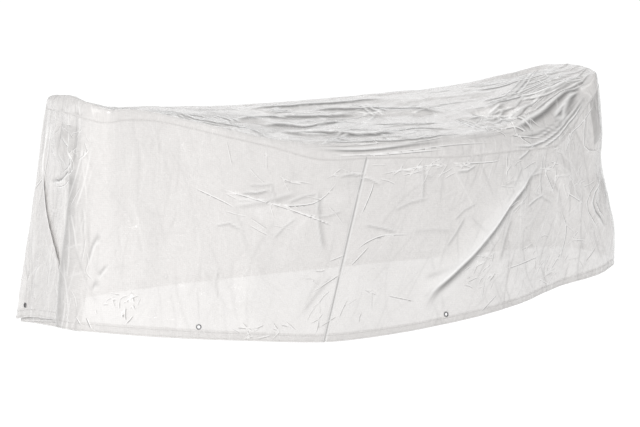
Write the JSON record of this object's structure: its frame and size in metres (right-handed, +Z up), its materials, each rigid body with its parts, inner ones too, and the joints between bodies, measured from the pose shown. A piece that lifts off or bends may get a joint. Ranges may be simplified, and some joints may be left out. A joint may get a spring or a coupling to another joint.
{
  "type": "patio furniture cover",
  "caption": "Long fitted cover of clear woven plastic film, open below, with a sagging top between raised ends, a draped skirt and a hem strip with eyelets.",
  "frame": {"origin": "on the underside of the top panel, at the middle of the cover's length and width, where it rests on what it covers; the ground is 0.768 m below", "axes": "+X along the cover's length, towards its right end; +Y from the front side to the back side; +Z up"},
  "size_m": [2.0508, 0.9671, 0.7293],
  "materials": {
    "film": "milky clear woven film, soft gloss, crinkled",
    "hem_film": "doubled woven film with two rows of stitching",
    "eyelet_metal": "dull grey metal"
  },
  "bodies": {
    "root": {"panel_top": "film", "skirt_left": "film", "skirt_right": "film", "hem_left": "hem_film", "hem_right": "hem_film", "eyelet_1": "eyelet_metal", "eyelet_2": "eyelet_metal", "eyelet_3": "eyelet_metal", "eyelet_4": "eyelet_metal", "eyelet_5": "eyelet_metal", "eyelet_6": "eyelet_metal"}
  },
  "joints": []
}
